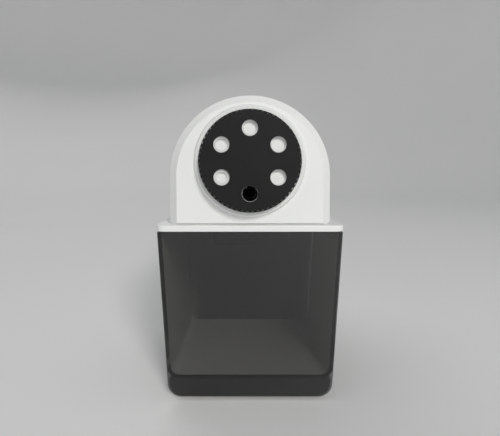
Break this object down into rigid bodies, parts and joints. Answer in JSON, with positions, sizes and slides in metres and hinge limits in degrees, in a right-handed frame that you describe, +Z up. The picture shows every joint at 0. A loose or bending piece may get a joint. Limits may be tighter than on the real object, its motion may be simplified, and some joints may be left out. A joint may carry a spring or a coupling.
{
  "type": "electric pencil sharpener",
  "caption": "Desktop electric pencil sharpener: white arched tower with a black size dial over a smoked shavings drawer.",
  "frame": {"origin": "on the desk, under the middle of the overall box", "axes": "+Z up, -Y towards the user in front of the dial, +X to the user's right"},
  "size_m": [0.102, 0.196, 0.168],
  "materials": {
    "white_shell": "fine-textured white moulded plastic",
    "white_inner": "smooth white moulded plastic",
    "dial_black": "satin black moulded plastic",
    "black_plastic": "matt black moulded plastic",
    "smoke_plastic": "clear smoke-grey polystyrene",
    "foot_rubber": "soft black rubber",
    "gland_rubber": "firm black rubber",
    "zinc_steel": "zinc-plated steel",
    "black_steel": "blackened steel",
    "bright_steel": "bright steel",
    "cutter_steel": "hardened ground steel",
    "cast_carrier": "die-cast zinc alloy",
    "bush_bronze": "sintered bronze",
    "gear_nylon": "natural nylon",
    "motor_can": "plated steel can",
    "ferrite": "ferrite",
    "rotor_iron": "laminated iron",
    "copper_parts": "copper-graphite",
    "fan_plastic": "black nylon",
    "board_green": "green circuit board",
    "capacitor_sleeve": "dark sleeve",
    "black_epoxy": "black epoxy",
    "switch_body": "phenolic",
    "plunger_red": "red acetal"
  },
  "bodies": {
    "body": {"rubber_feet": "foot_rubber", "base_plate": "black_plastic", "base_screws": "zinc_steel", "main_housing": "white_shell", "bay_panel": "black_plastic", "rear_cover": "white_shell", "rear_screws": "black_steel", "cord_gland": "gland_rubber", "deck_rim": "white_shell", "tower_screws": "zinc_steel", "deck_screws": "zinc_steel", "shavings_chute": "black_plastic", "front_cover": "white_shell", "tower_shell": "white_shell", "detent_spring": "bright_steel", "lever_pin": "bright_steel", "pencil_switch": "switch_body", "ring_gear": "gear_nylon", "head_standoffs": "zinc_steel", "head_screws": "zinc_steel", "front_gear_plate": "zinc_steel", "rear_gear_plate": "zinc_steel", "plate_screws": "zinc_steel", "gearbox_posts": "zinc_steel", "gearbox_screws": "zinc_steel", "front_bush": "bush_bronze", "rear_bush": "bush_bronze", "idler_axle": "bright_steel", "motor_case": "motor_can", "motor_screws": "zinc_steel", "motor_end_cap": "black_plastic", "motor_magnets": "ferrite", "motor_brushes": "copper_parts", "motor_cradle": "black_plastic", "power_board": "board_green", "board_posts": "zinc_steel", "filter_capacitor": "capacitor_sleeve", "bridge_rectifier": "black_epoxy", "thermal_cutout": "switch_body", "interlock_switch": "switch_body"},
    "dial": {"size_dial": "dial_black", "guide_disc": "white_inner", "dial_washer": "zinc_steel", "dial_screw": "zinc_steel"},
    "detent": {"detent_ball": "bright_steel"},
    "bin": {"shavings_bin": "smoke_plastic"},
    "lever": {"pencil_lever": "black_plastic"},
    "plunger": {"interlock_plunger": "plunger_red"},
    "carrier": {"cutter_carrier": "cast_carrier", "cutter_pins": "bright_steel", "carrier_gear": "gear_nylon", "shaft_clip": "bright_steel"},
    "upper_cutter": {"cutter_upper": "cutter_steel"},
    "lower_cutter": {"cutter_lower": "cutter_steel"},
    "idler": {"idler_gear": "gear_nylon"},
    "rotor": {"motor_rotor": "rotor_iron", "motor_shaft": "bright_steel", "motor_pinion": "bush_bronze", "cooling_fan": "fan_plastic"}
  },
  "joints": [
    {"name": "dial_turn", "type": "hinge", "parent": "body", "child": "dial", "pos_m": [0, -0.098, 0.132], "axis": [0, 1, 0], "continuous": true},
    {"name": "detent_press", "type": "slide", "parent": "body", "child": "detent", "axis": [0, -1, 0], "range_m": [0, 0.00025], "stiffness_N_per_m": 400},
    {"name": "bin_slide", "type": "slide", "parent": "body", "child": "bin", "axis": [0, -1, 0], "range_m": [0, 0.1]},
    {"name": "lever_swing", "type": "hinge", "parent": "body", "child": "lever", "pos_m": [0, -0.0755, 0.128], "axis": [1, 0, 0], "range_deg": [0, 38], "stiffness_Nm_per_rad": 0.004},
    {"name": "plunger_press", "type": "slide", "parent": "body", "child": "plunger", "axis": [0, 1, 0], "range_m": [0, 0.001], "stiffness_N_per_m": 300},
    {"name": "carrier_turn", "type": "hinge", "parent": "body", "child": "carrier", "pos_m": [0, -0.0515, 0.1147], "axis": [0, 1, 0], "continuous": true},
    {"name": "upper_cutter_spin", "type": "hinge", "parent": "carrier", "child": "upper_cutter", "pos_m": [0, -0.0515, 0.12535], "axis": [0, 0.9833, -0.1822], "continuous": true},
    {"name": "lower_cutter_spin", "type": "hinge", "parent": "carrier", "child": "lower_cutter", "pos_m": [0, -0.0515, 0.10405], "axis": [0, 0.9833, 0.1822], "continuous": true},
    {"name": "idler_turn", "type": "hinge", "parent": "body", "child": "idler", "pos_m": [0, 0.0117, 0.08308], "axis": [0, 1, 0], "continuous": true},
    {"name": "rotor_turn", "type": "hinge", "parent": "body", "child": "rotor", "pos_m": [0, 0.0217, 0.05896], "axis": [0, 1, 0], "continuous": true}
  ],
  "couplings": [
    {"joint": "upper_cutter_spin", "follows": "carrier_turn", "ratio": -3.3333},
    {"joint": "lower_cutter_spin", "follows": "carrier_turn", "ratio": -3.3333},
    {"joint": "idler_turn", "follows": "carrier_turn", "ratio": -3.5},
    {"joint": "rotor_turn", "follows": "carrier_turn", "ratio": 14}
  ]
}
